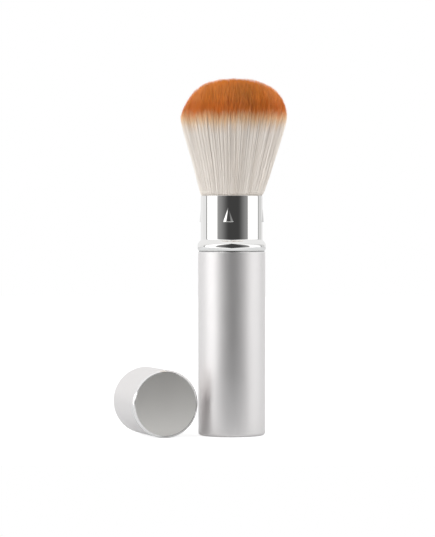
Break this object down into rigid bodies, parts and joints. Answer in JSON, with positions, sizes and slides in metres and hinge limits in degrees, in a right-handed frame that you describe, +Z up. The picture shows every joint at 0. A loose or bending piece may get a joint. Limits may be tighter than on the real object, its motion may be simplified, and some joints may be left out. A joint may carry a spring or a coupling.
{
  "type": "retractable makeup brush",
  "caption": "Round powder brush on a metal tube handle; a polished neck sleeve with a bead slides up over the fibres, and a lift-off cap lies beside it.",
  "frame": {"origin": "the brush's axis where its flat base meets the surface it stands on", "axes": "+Z up the brush towards the fibre tips; the cap lies on the -X side with its closed end towards -Y, the picture's camera side"},
  "size_m": [0.0638, 0.0388, 0.1322],
  "materials": {
    "satin_aluminium": "fine satin, clear anodised",
    "polished_aluminium": "mirror polished",
    "plain_aluminium": "as drawn",
    "moulded_plastic": "fine moulded texture",
    "bush_plastic": "smooth moulded, dark grey",
    "liner_plastic": "smooth moulded",
    "ring_rubber": "matt",
    "screw_steel": "zinc plated",
    "glue_resin": "cast resin",
    "fibres": "soft synthetic fibre, off-white with orange tips"
  },
  "bodies": {
    "handle": {"body_tube": "satin_aluminium", "centre_post": "moulded_plastic", "mouth_bush": "bush_plastic", "head_socket": "moulded_plastic", "head_screw": "screw_steel", "ferrule": "plain_aluminium", "glue_plug": "glue_resin", "bristles": "fibres"},
    "sleeve": {"neck_sleeve": "polished_aluminium", "slider_foot": "moulded_plastic", "friction_ring": "ring_rubber"},
    "cap": {"cap_shell": "satin_aluminium", "cap_liner": "liner_plastic"}
  },
  "joints": [
    {"name": "sleeve_slide", "type": "slide", "parent": "handle", "child": "sleeve", "axis": [0, 0, 1], "range_m": [0, 0.038], "deforming": ["bristles"]},
    {"name": "cap_slide", "type": "slide", "parent": "handle", "child": "cap", "axis": [0.3256, -0.9455, 0], "range_m": [0, 0.05]}
  ]
}
